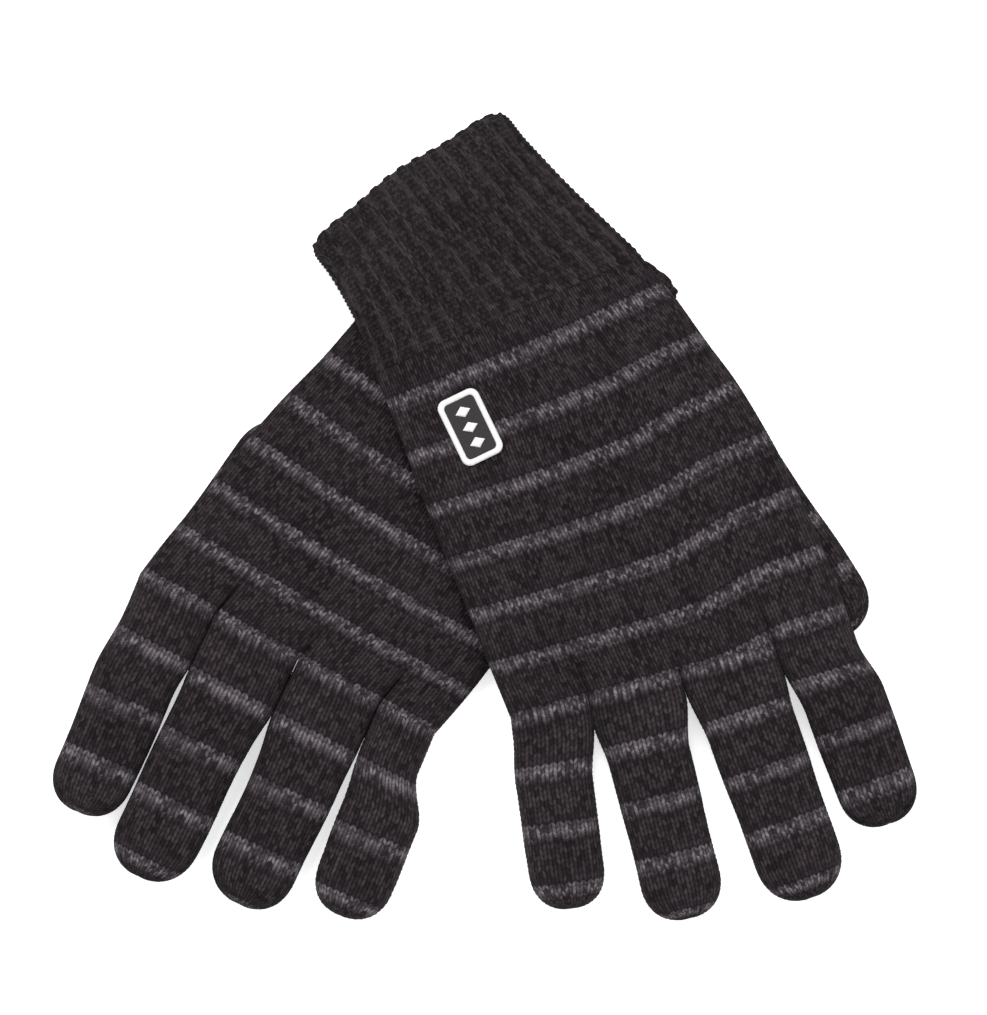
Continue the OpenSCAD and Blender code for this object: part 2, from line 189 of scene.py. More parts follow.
def hand_w(g, v):
    w0, w1 = WRIST_W[g], KNUCKLE_W[g]
    share = np.minimum(1, np.maximum(v, 0) / (WIDEST_AT * HAND_L[g]))
    grown = w0 + (w1 - w0) * np.sin(np.pi / 2 * share)
    return np.where(v < 0, w0 + (w0 - CUFF_END_W) * v / CUFF_L[g], grown)


def thumb_lift(u, v):
    across = np.clip((u - LIFT_ACROSS[0]) / (LIFT_ACROSS[1] - LIFT_ACROSS[0]), 0, 1)
    return (THUMB_T + LAYER_GAP) * across * ramp(v, *LIFT_UP) * (1 - ramp(v, *LIFT_DOWN))


def glove_lift(x, y):
    u, v = to_chart(LEFT, x, y)
    side = np.abs(u) - hand_w(LEFT, v) / 2
    end = np.maximum(-CUFF_L[LEFT] - v, v - HAND_L[LEFT] - DRAPE_FINGERS)
    outside = np.hypot(np.maximum(0, side), np.maximum(0, end)) + np.minimum(0, np.maximum(side, end))
    return (GLOVE_T + LAYER_GAP + thumb_lift(u, v)) * (1 - ramp(outside, *DRAPE))


def base_z(g, u, v):
    own = thumb_lift(u, v)
    if g == LEFT:
        return own
    x, y = to_page(g, u, v)
    return np.cbrt(own ** 3 + glove_lift(x, y) ** 3)


def finger_start(g, i):
    turn = math.radians(abs(FINGER_LEAN[g][i] - KNUCKLE_SLOPE[g]))
    return FINGER_W[g][i] / 2 * math.tan(turn) + JOINT_GAP


def knuckle_point(g, u):
    return np.array([u, HAND_L[g] + u * math.tan(math.radians(KNUCKLE_SLOPE[g]))])


def finger_root(g, i):
    return knuckle_point(g, ROOT_U[g][i])


def finger_way(g, i):
    a = math.radians(FINGER_LEAN[g][i])
    return np.array([-math.sin(a), math.cos(a)])


def check_chart():
    """The charts must put every knuckle where the frame's joint is."""
    for g, side in enumerate(SIDES):
        for i, finger in enumerate(FINGERS):
            at = finger_root(g, i) + finger_start(g, i) * finger_way(g, i)
            x, y = to_page(g, at[0], at[1])
            joint = np.array(JOINTS[f"{side}_{finger}_knuckle"]["pos_m"]) / MM
            if math.hypot(joint[0] - x, joint[1] - y) > 1:
                raise ValueError(f"{side} {finger} knuckle is not where the frame has it")


# --- Random numbers and gentle unevenness, all seeded ---

def waves(seed, count, low, high):
    """A smooth random field of the page: a sum of a few plane waves, from -1 to 1."""
    rng = np.random.default_rng(seed)
    ways = rng.uniform(0, 2 * np.pi, count)
    lengths = rng.uniform(low, high, count)
    starts = rng.uniform(0, 2 * np.pi, count)

    def field(x, y):
        total = np.zeros(np.shape(x))
        for way, length, start in zip(ways, lengths, starts):
            total += np.sin((x * math.cos(way) + y * math.sin(way)) * 2 * np.pi / length + start)
        return total / math.sqrt(count)
    return field


SAG = waves(3, 7, 24, 60)


# --- Stitches ---

def cell_noise(a, b, seed):
    """A random number from 0 to 1 for each whole pair (a, b)."""
    n = np.sin(np.floor(a) * 12.9898 + np.floor(b) * 78.233 + seed * 37.719) * 43758.5453
    return n - np.floor(n)


def stockinette(wale, course):
    """Height of plain knitting: each stitch is a V whose two legs meet at the cuff side."""
    x = np.abs(wale - np.floor(wale) - 0.5)
    leg = np.clip(1 - ((x - LEG_AT) / LEG_HALF) ** 2, 0, 1) ** LEG_ROUND
    slanted = course - LEG_SLANT * x
    y = slanted - np.floor(slanted) - 0.5
    bulge = np.sqrt(np.clip(np.cos(np.pi * y), 0, 1))
    size = LEG_SIZE[0] + LEG_SIZE[1] * cell_noise(wale * 2, slanted, 1)
    return RELIEF * size * leg * (LEG_ENDS + (1 - LEG_ENDS) * bulge) - RELIEF * STITCH_SINK


def ribbing(wale, course, strength):
    """Height of a two by two rib: raised knit wales with Vs, sunk purl wales with small bars."""
    turn = (wale / RIB) % 1
    raised = smooth((0.25 - np.abs(turn - 0.5)) / RIB_SLOPE + 0.5)
    bars = PURL_BAR * RELIEF * np.cos(2 * np.pi * course) * (1 - raised)
    ribs = strength * RIB_RELIEF * (raised - RIB_SINK)
    return ribs + raised * RIB_STITCH * stockinette(wale, course) + bars


# --- Rings of a flat tube ---

ANGLE = np.linspace(-np.pi / 2, 1.5 * np.pi, SAMPLES + 1)
ACROSS = np.sign(np.cos(ANGLE)) * np.abs(np.cos(ANGLE)) ** (2 / POWER)
RISE = np.sin(ANGLE)
RISE[np.abs(RISE) < 1e-9] = 0
ACROSS[0] = ACROSS[-1] = 0


def top_share(x):
    return (1 - np.minimum(1, np.abs(x)) ** POWER) ** (1 / POWER)


def ring_height(t):
    """Heights round a ring of a flat tube of height t: crowned on top, flat underneath."""
    e = SIDE_Z * t
    upper = e + (t - e) * np.maximum(RISE, 0) ** (2 / POWER)
    lower = e * (1 - np.minimum(1, np.maximum(-RISE, 0) / UNDER_REACH) ** (2 / POWER))
    return np.where(RISE >= 0, upper, lower)


def resample(ring, count, like=None):
    """The ring's points spaced evenly along it, or along the ring like, from under the middle."""
    step = np.linalg.norm(np.diff(ring if like is None else like, axis=0), axis=1)
    run = np.concatenate([[0], np.cumsum(step)])
    even = np.linspace(0, run[-1], count + 1)[:-1]
    return np.stack([np.interp(even, run, ring[:, k]) for k in range(3)], axis=1)


def placed(g, u, v, z, lifted=True):
    """Points on the page from chart points, in mm, lifted by what lies under the fabric."""
    x, y = to_page(g, u, v)
    lift = base_z(g, u, v) if lifted else 0
    return np.stack([x, y, z + lift], axis=-1)


def ring_between(g, low, high, t, raise_z, inset, lifted=True):
    """A ring whose sides lie at chart points low (little finger side) and high (thumb side)."""
    mid, half = (low + high) / 2, (high - low) / 2
    size = np.linalg.norm(half)
    half = half * max(size - inset, 0.01) / max(size, 0.01)
    t_in = max(t - 2 * inset, 0.01)
    z = ring_height(t_in) + inset + raise_z
    return placed(g, mid[0] + ACROSS * half[0], mid[1] + ACROSS * half[1], z, lifted)


# --- Meshes ---

def grid_normals(p, flip):
    """Normals of a grid of points that is closed round each ring."""
    along = np.gradient(p, axis=0)
    around = np.roll(p, -1, axis=1) - np.roll(p, 1, axis=1)
    n = np.cross(around, along)
    n /= np.maximum(np.linalg.norm(n, axis=2, keepdims=True), 1e-9)
    return -n if flip else n


def soften(n, passes):
    for _ in range(passes):
        n = (np.roll(n, 1, axis=1) + n + np.roll(n, -1, axis=1)) / 3
    return n / np.maximum(np.linalg.norm(n, axis=2, keepdims=True), 1e-9)


def grid_mesh(name, points, wales, phase, lengths, flip, cap_end=False, cap_start=False):
    """A mesh of a closed-round grid of points in mm, with wale and fabric length on its UV map."""
    rows, cols = points.shape[:2]
    row = np.arange(rows - 1)[:, None] * cols
    col = np.arange(cols)[None, :]
    after = (col + 1) % cols
    corners = np.stack([row + col, row + after, row + cols + after, row + cols + col], axis=-1)
    wale_step = wales / cols
    low, high = phase + col * wale_step, phase + (col + 1) * wale_step
    low, high = (np.broadcast_to(a, (rows - 1, cols)) for a in (low, high))
    turned = np.roll(lengths, -1, axis=1)
    uv = np.stack([np.stack([low, lengths[:-1]], -1), np.stack([high, turned[:-1]], -1),
                   np.stack([high, turned[1:]], -1), np.stack([low, lengths[1:]], -1)], axis=2)
    if flip:
        corners, uv = corners[..., ::-1], uv[:, :, ::-1]
    corners, uv = corners.reshape(-1), uv.reshape(-1, 2)
    verts = points.reshape(-1, 3)
    starts = list(range(0, len(corners), 4))
    extra, extra_uv = [], []
    ends = ((cap_start, 0, lengths[0, 0], True), (cap_end, rows - 1, lengths[-1, 0], False))
    for cap, ring, at, first in ends:
        if cap:
            middle = len(verts)
            verts = np.vstack([verts, points[ring].mean(axis=0)])
            for k in range(cols):
                a, b = ring * cols + k, ring * cols + (k + 1) % cols
                three = [a, b, middle]
                wale = phase + k * wale_step
                pair = [[wale, at], [wale + wale_step, at], [wale + wale_step / 2, at + 0.3]]
                if first != flip:
                    three, pair = three[::-1], pair[::-1]
                starts.append(len(corners) + len(extra))
                extra += three
                extra_uv += pair
    if extra:
        corners = np.concatenate([corners, extra])
        uv = np.vstack([uv, extra_uv])
    me = bpy.data.meshes.new(name)
    me.vertices.add(len(verts))
    me.vertices.foreach_set("co", (verts * MM).astype(np.float32).ravel())
    me.loops.add(len(corners))
    me.loops.foreach_set("vertex_index", corners.astype(np.int32))
    me.polygons.add(len(starts))
    me.polygons.foreach_set("loop_start", np.array(starts, np.int32))
    me.uv_layers.new(name="knit")
    me.update(calc_edges=True)
    me.uv_layers["knit"].data.foreach_set("uv", uv.astype(np.float32).ravel())
    me.shade_smooth()
    me.validate()
    ob = bpy.data.objects.new(name, me)
    bpy.context.scene.collection.objects.link(ob)
    return ob


def knitted(name, g, rings, lengths, wales, relief, cap_end=False, cap_start=False, fade=None,
            plain=None, phase=0.0, lag=None, inset=0.0):
    """A piece of knitting through rings of points: resampled to its wales and given stitches.

    The rings are resampled along the plain rings if there are any, phase is the number of the
    first wale, lag adds to the fabric's length from place to place, and inset is how far each
    ring is set in, which keeps a tucked lip's underside off the table.
    """
    cols = wales * COLS
    base = np.stack([resample(r, cols, q) for r, q in zip(rings, plain or rings)])
    lengths = np.broadcast_to(np.asarray(lengths)[:, None] + LENGTH_START, base.shape[:2])
    if lag is not None:
        lengths = lengths + lag(*to_chart(g, base[..., 0], base[..., 1]))
    flip = g == RIGHT
    n = soften(grid_normals(base, flip), 2)
    wale = np.broadcast_to(phase + np.arange(cols)[None, :] / COLS, base.shape[:2])
    course = lengths / COURSE
    height = relief(wale, course) + SAG_DEPTH * SAG(base[..., 0], base[..., 1])
    if fade is not None:
        height = height * fade[:, None]
    p = base + n * height[..., None]
    lowest = TABLE_GAP + LIP_STEP * np.broadcast_to(inset, len(p))
    p[..., 2] = np.maximum(p[..., 2], lowest[:, None])
    return grid_mesh(name, p, wales, phase, lengths, flip, cap_end, cap_start)


def lengths_to(start, end):
    count = max(3, int(round((end - start) / COURSE * ROWS)))
    return np.linspace(start, end, count + 1)


# --- The hand ---

def webs(g):
    """Where the hand ends between its fingers, from the thumb side to the little finger side."""
    inner = [(ROOT_U[g][i] + ROOT_U[g][i + 1]) / 2 for i in range(3)]
    half = KNUCKLE_W[g] / 2
    turn = math.cos(math.radians(KNUCKLE_SLOPE[g]))
    return [half * turn] + inner + [-half * turn]


PINCH_L = 24.0      # how far down the hand the dips between the fingers reach
ARC = (1.0, 2.2)    # how far the rows bow towards the fingers in the middle of the hand
LAG_ACROSS = (8.0, 38.0)      # chart's u over which the rows come to lag


def hand_ring(g, length, pinched=True):
    f = length / HAND_L[g]
    wrist = -CUFF_TURN[g] / 4
    heading = math.radians(wrist + (-KNUCKLE_SLOPE[g] - wrist) * f)
    w = float(hand_w(g, np.array(length))) / 2
    u = HAND_SHIFT[g] * math.sin(math.pi * f) + ACROSS * w * math.cos(heading)
    v = length - ACROSS * w * math.sin(heading)
    v = v + ARC[g] * math.sin(math.pi * min(max(f, 0), 1)) ** 0.8 * (1 - ACROSS ** 2)
    z = ring_height(GLOVE_T)
    near = (length - HAND_L[g] + PINCH_L) / PINCH_L
    if pinched and near > 0:
        pinch = float(smooth(near)) ** 1.4
        edge = np.array(webs(g)) / webs(g)[0]
        hump = np.zeros_like(u)
        for i in range(4):
            mid, half = (edge[i] + edge[i + 1]) / 2, (edge[i] - edge[i + 1]) / 2
            hump = np.maximum(hump, top_share((ACROSS - mid) / half))
        e = SIDE_Z * GLOVE_T
        upper = e + (GLOVE_T - e) * hump
        lower = e * (1 - hump)
        z = (1 - pinch) * z + pinch * np.where(RISE >= 0, upper, lower)
    return placed(g, u, v, z)


def hand_wales(g):
    return int(round(HAND_ROUND * KNUCKLE_W[g] / WALE))


def palm_lag(g):
    """The rows lag more and more towards the index finger's side."""
    def lag(u, v):
        return INDEX_LAG[g] * ramp(u, *LAG_ACROSS) * ramp(v, 0, 0.7 * HAND_L[g])
    return lag


def make_hand(g):
    lengths = lengths_to(-JOINT_GAP, HAND_L[g])
    rings = [hand_ring(g, s) for s in lengths]
    plain = [hand_ring(g, s, False) for s in lengths]
    return knitted(f"{SIDES[g]}_hand_knit", g, rings, (lengths - HAND_L[g]) * PALM_STRETCH[g],
                   hand_wales(g), stockinette, plain=plain, lag=palm_lag(g))


# --- Fingers ---

TIP_POWER = 2.35    # a fingertip is a little squarer than a half circle
SHARED_L = (13.0, 6.0)    # length of a finger over which it lies against its neighbours
PART_L = 17         # length over which it then comes to its own width
ROOT_L = 6          # length over which a finger's underside flattens from the hand's


def finger_profile(r, l, w):
    """Distance along a finger and its width's share, at run r over the fabric."""
    straight = l - w / 2
    if r <= straight:
        return r, 1.0
    a = min((r - straight) / (w / 2), math.pi / 2)
    return straight + w / 2 * math.sin(a) ** (2 / TIP_POWER), max(math.cos(a), 0) ** (2 / TIP_POWER)


def finger_ring(g, i, r, inset=0.0):
    l, w = FINGER_L[g][i], FINGER_W[g][i]
    s, f = finger_profile(r, l, w)
    edge = webs(g)
    high0, low0 = knuckle_point(g, edge[i]), knuckle_point(g, edge[i + 1])
    way = finger_way(g, i)
    cross = np.array([way[1], -way[0]])
    mid = finger_root(g, i) + s * way
    half = w / 2 * (1 - (1 - FINGER_TAPER) * s / l) * f
    # neighbours share their sides just past the web, and then each takes its own width
    high_way = (way + finger_way(g, max(i - 1, 0))) / 2
    low_way = (way + finger_way(g, min(i + 1, 3))) / 2
    b = float(ramp(s, SHARED_L[g], SHARED_L[g] + PART_L))
    high = (1 - b) * (high0 + s * high_way) + b * (mid + half * cross)
    low = (1 - b) * (low0 + s * low_way) + b * (mid - half * cross)
    t = GLOVE_T * math.sqrt(max(f, 1e-4))
    ring = ring_between(g, low, high, t, (GLOVE_T - t) * SIDE_Z, inset)
    if s < ROOT_L:
        # the root's ring meets the hand's last one, whose underside curves up over its whole width
        e = SIDE_Z * GLOVE_T
        share = top_share(ACROSS)
        under = np.where(RISE >= 0, 0, e * (1 - share) - ring_height(t))
        ring[:, 2] += (1 - float(smooth(s / ROOT_L))) * under
    return ring


def finger_wales(g, i):
    return int(round(FINGER_ROUND * FINGER_W[g][i] / WALE))


def finger_phase(g, i):
    """The part of a wale by which a finger is turned, so that its wales run on from the hand's."""
    plain = hand_ring(g, HAND_L[g], False)
    run = np.concatenate([[0], np.cumsum(np.linalg.norm(np.diff(plain, axis=0), axis=1))])
    u = to_chart(g, plain[:, 0], plain[:, 1])[0]
    top = RISE > 0
    edge = webs(g)
    order = np.argsort(u[top])
    at = np.interp((edge[i] + edge[i + 1]) / 2, u[top][order], run[top][order])
    return at / run[-1] * hand_wales(g) % 1 + 0.5 * (finger_wales(g, i) % 2)


def tucked(lengths, first):
    """Lengths with a tucked lip before them, and how far each ring is set in."""
    runs = np.concatenate([[first - TUCK * run for run, depth in LIP], lengths])
    inset = np.concatenate([[TUCK_IN * depth for run, depth in LIP], np.zeros(len(lengths))])
    return runs, inset


def finger_piece(g, i, name, start, end, closed):
    lengths = lengths_to(start, end)
    runs, inset = tucked(lengths, start)
    rings = [finger_ring(g, i, r, d) for r, d in zip(runs, inset)]
    l, w = FINGER_L[g][i], FINGER_W[g][i]
    to_tip = l - w / 2 + w / 2 * math.pi / 2 - runs
    fade = np.clip(to_tip / FADE_L, FADE_LEAST, 1) if closed else None
    late = INDEX_LAG[g] if i == 0 else 0.0
    return knitted(name, g, rings, runs * FINGER_STRETCH[g] + late, finger_wales(g, i), stockinette,
                   cap_end=closed, fade=fade, phase=finger_phase(g, i), inset=inset)


def finger_end(g, i):
    l, w = FINGER_L[g][i], FINGER_W[g][i]
    return l - w / 2 + (math.pi / 2 - TIP_LEFT) * w / 2


# --- Cuffs ---

CUFF_REACH = (0.0, 1.8)    # the worn cuffs lie a little longer and more askew than they were made
CUFF_SWAY = (0.0, 1.8)
CUFF_SPREAD = (0.0, 1.2)
MOUTH_FROM = 0.75   # share of the cuff's length from which its mouth's unevenness grows
MOUTH_WAVE = 0.7
CORNER_DROOP = 3.2  # how far the mouth's corners lie behind its middle
INSIDE_RINGS = 40
INSIDE_RELIEF = 0.35
CUFF_TUCK_RINGS = 5


def cuff_ring(g, s, inset):
    f = min(s / CUFF_L[g], 1.0)
    turn = math.radians(CUFF_TURN[g])
    wrist = -CUFF_TURN[g] / 4
    heading = math.radians(wrist + (CUFF_TURN[g] - wrist) * min(1, 1.6 * max(f, 0)))
    w = CUFF_END_W + (WRIST_W[g] - CUFF_END_W) * (1 - max(f, 0)) ** CUFF_FLARE
    t = GLOVE_T + (CUFF_EDGE_T - GLOVE_T) * max(f, 0)
    near_end = float(ramp(f, MOUTH_FROM, 1))
    wave = MOUTH_WAVE * np.sin(ACROSS * 5.2 + 1.1 + g) * near_end
    droop = CORNER_DROOP * np.abs(ACROSS) ** 7 * near_end
    along = s + wave - droop + CUFF_REACH[g] * max(f, 0)
    half = w / 2 - inset
    half = half + CUFF_SPREAD[g] * near_end * (1 - f) * 4
    u = -along * math.sin(turn) + ACROSS * half * math.cos(heading) - CUFF_SWAY[g] * float(smooth(f))
    v = -along * math.cos(turn) - ACROSS * half * math.sin(heading)
    z = ring_height(max(t - 2 * inset, 1.0)) + inset
    return placed(g, u, v, z)


def make_cuff(g):
    """Outer fabric from the wrist to the mouth, over the rolled edge and back inside."""
    rim = FABRIC_T / 2
    runs = [(s, 0.0) for s in lengths_to(-TUCK, CUFF_L[g] - rim)]
    for a in np.linspace(0, math.pi, 9)[1:-1]:
        runs.append((CUFF_L[g] - rim + rim * math.sin(a), rim - rim * math.cos(a)))
    runs += [(s, FABRIC_T) for s in np.linspace(CUFF_L[g] - rim, 1.0, INSIDE_RINGS)]
    for k in range(CUFF_TUCK_RINGS):
        runs[k] = (runs[k][0], TUCK_IN * (1 - k / CUFF_TUCK_RINGS))
    rings = [cuff_ring(g, s, d)[::-1] for s, d in runs]
    perimeter = 2 * WRIST_W[g] + 8
    wales = int(round(perimeter / RIB_WALE / RIB)) * RIB
    steps = [max(math.hypot(b[0] - a[0], b[1] - a[1]), 0.01) for a, b in zip(runs, runs[1:])]
    lengths = np.cumsum([0] + steps)
    along, inset = np.array(runs).T
    side = np.where(inset > rim, INSIDE_RELIEF, 1.0)
    strength = side * ramp(lengths, 0, 5) * (0.4 + 0.6 * ramp(np.abs(CUFF_L[g] - along), 0.5, 3.5))
    return knitted(f"{SIDES[g]}_cuff_knit", g, rings, lengths, wales,
                   lambda wale, course: ribbing(wale, course, strength[:, None]), inset=inset)


# --- Thumbs and the knots between the fingers ---

TACK_R = 1.0
TACK_BACK = 2.0
TACK_TALL = 1.6     # a knot's height to its width
GUSSET_R = 7.4
GUSSET_WAIST = 1.1  # how much narrower the gusset is in its middle
GUSSET_L = 8
GUSSET_SINK = 2.2   # how far its ends reach into the thumb and the palm
GUSSET_RINGS = 22
GUSSET_WALES = 22


def thumb_ring(g, r, inset=0.0):
    root = THUMB_W / 2
    if r < root * math.pi / 2:
        a = math.pi / 2 - r / root
        s, f = -root * math.sin(a) ** (2 / TIP_POWER), max(math.cos(a), 0.02) ** (2 / TIP_POWER)
    else:
        s, f = finger_profile(r - root * math.pi / 2, THUMB_L, THUMB_W)
    a = math.radians(THUMB_LEAN[g])
    way, cross = np.array([math.sin(a), math.cos(a)]), np.array([math.cos(a), -math.sin(a)])
    mid = np.array(THUMB_ROOT[g]) + s * way
    half = THUMB_W / 2 * f
    t = THUMB_T * math.sqrt(max(f, 1e-4))
    low, high = mid - half * cross, mid + half * cross
    return ring_between(g, low, high, t, (THUMB_T - t) * SIDE_Z, inset, False)


def thumb_piece(g, name, start, end, closed_start, closed_end):
    lengths = lengths_to(start, end)
    runs, inset = (lengths, np.zeros(len(lengths))) if closed_start else tucked(lengths, start)
    rings = [thumb_ring(g, r, d) for r, d in zip(runs, inset)]
    ends = np.minimum(runs if closed_start else 99, (end - runs) if closed_end else 99)
    fade = np.clip(ends / FADE_L, FADE_LEAST, 1)
    wales = int(round(FINGER_ROUND * THUMB_W / WALE))
    return knitted(name, g, rings, runs + 3.0, wales, stockinette, closed_end, closed_start, fade,
                   inset=inset)


def make_gusset(g):
    """The short neck of knitting that joins the thumb to the palm, round about the thumb's axis."""
    u, v = THUMB_ROOT[g]
    lift = float(base_z(g, np.array(u), np.array(v)))
    turn = np.linspace(0, 2 * np.pi, SAMPLES + 1)
    rings = []
    lengths = np.linspace(0, GUSSET_L, GUSSET_RINGS)
    for s in lengths:
        h = s / GUSSET_L
        radius = GUSSET_R - GUSSET_WAIST * math.sin(math.pi * h)
        x, y = to_page(g, u + radius * np.cos(turn), v + radius * np.sin(turn))
        z = np.full_like(x, THUMB_T - GUSSET_SINK + (lift - THUMB_T + 2 * GUSSET_SINK) * h)
        rings.append(np.stack([x, y, z], axis=-1))
    return knitted(f"{SIDES[g]}_thumb_gusset", g, rings, lengths, GUSSET_WALES, stockinette)


def make_tacks(g):
    """The knots of linking yarn that close the knitting between the fingers."""
    verts, faces = [], []
    rings, sides = 8, 14
    for u in webs(g)[1:-1]:
        at = knuckle_point(g, u)
        x0, y0 = to_page(g, at[0], at[1] - TACK_BACK)
        z0 = float(base_z(g, at[0], at[1] - TACK_BACK)) + SIDE_Z * GLOVE_T
        first = len(verts)
        for k in range(rings + 1):
            a = math.pi * k / rings
            for j in range(sides):
                b = 2 * math.pi * j / sides
                twist = 1 + 0.12 * math.sin(3 * b + 5 * a)
                verts.append((x0 + TACK_R * twist * math.sin(a) * math.cos(b),
                              y0 + TACK_R * twist * math.sin(a) * math.sin(b),
                              z0 + TACK_TALL * TACK_R * math.cos(a)))
        for k in range(rings):
            for j in range(sides):
                c = first + k * sides
                faces.append((c + j, c + sides + j, c + sides + (j + 1) % sides, c + (j + 1) % sides))
    return mesh_object(f"{SIDES[g]}_tack_knots", verts, faces)


# --- Materials ---

class Nodes:
    """A short way to wire a material's nodes."""

    def __init__(self, name):
        self.material = bpy.data.materials.new(name)
        self.material.use_nodes = True
        self.tree = self.material.node_tree
        self.shader = self.tree.nodes["Principled BSDF"]

    def add(self, kind, **settings):
        node = self.tree.nodes.new(kind)
        for key, value in settings.items():
            setattr(node, key, value)
        return node

    def link(self, a, b):
        self.tree.links.new(a, b)

    def math(self, operation, a, b=None, c=None, clamp=False):
        node = self.add("ShaderNodeMath", operation=operation, use_clamp=clamp)
        for socket, value in zip(node.inputs, (a, b, c)):
            if value is None:
                continue
            if isinstance(value, (int, float)):
                socket.default_value = value
            else:
                self.link(value, socket)
        return node.outputs[0]

    def mix(self, share, a, b):
        node = self.add("ShaderNodeMix", data_type="RGBA")
        for socket, value in ((node.inputs["Factor"], share), (node.inputs[6], a), (node.inputs[7], b)):
            if isinstance(value, tuple):
                socket.default_value = value + (1,)
            elif isinstance(value, (int, float)):
                socket.default_value = value
            else:
                self.link(value, socket)
        return node.outputs[2]

    def noise(self, vector, scale, detail=2.0, rough=0.5):
        node = self.add("ShaderNodeTexNoise")
        node.inputs["Scale"].default_value = scale
        node.inputs["Detail"].default_value = detail
        node.inputs["Roughness"].default_value = rough
        self.link(vector, node.inputs["Vector"])
        return node.outputs["Fac"]

    def bump(self, height, strength, distance):
        node = self.add("ShaderNodeBump")
        node.inputs["Strength"].default_value = strength
        node.inputs["Distance"].default_value = distance
        self.link(height, node.inputs["Height"])
        self.link(node.outputs["Normal"], self.shader.inputs["Normal"])


def set_finish(shader, rough, sheen, specular):
    shader.inputs["Roughness"].default_value = rough
    shader.inputs["Sheen Weight"].default_value = sheen
    shader.inputs["Sheen Roughness"].default_value = 0.5
    shader.inputs["Specular IOR Level"].default_value = specular


def stitch_parts(n):
    """From the knit UV map: wale, row, the part across a leg, along it and each leg's number."""
    uv = n.add("ShaderNodeUVMap", uv_map="knit")
    parts = n.add("ShaderNodeSeparateXYZ")
    n.link(uv.outputs["UV"], parts.inputs[0])
    wale = parts.outputs["X"]
    side = n.math("ABSOLUTE", n.math("SUBTRACT", n.math("FRACT", wale), 0.5))
    row = n.math("DIVIDE", parts.outputs["Y"], COURSE)
    course = n.math("SUBTRACT", row, n.math("MULTIPLY", side, LEG_SLANT))
    across = n.math("DIVIDE", n.math("SUBTRACT", side, LEG_AT), LEG_AT)
    leg = n.math("SUBTRACT", 1.0, n.math("MULTIPLY", across, across), clamp=True)
    bulge = n.math("SINE", n.math("MULTIPLY", n.math("FRACT", course), math.pi))
    cell = n.add("ShaderNodeCombineXYZ")
    n.link(n.math("FLOOR", n.math("MULTIPLY", wale, 2)), cell.inputs[0])
    n.link(n.math("FLOOR", course), cell.inputs[1])
    white = n.add("ShaderNodeTexWhiteNoise", noise_dimensions="3D")
    n.link(cell.outputs[0], white.inputs["Vector"])
    return wale, course, leg, bulge, white.outputs["Value"]


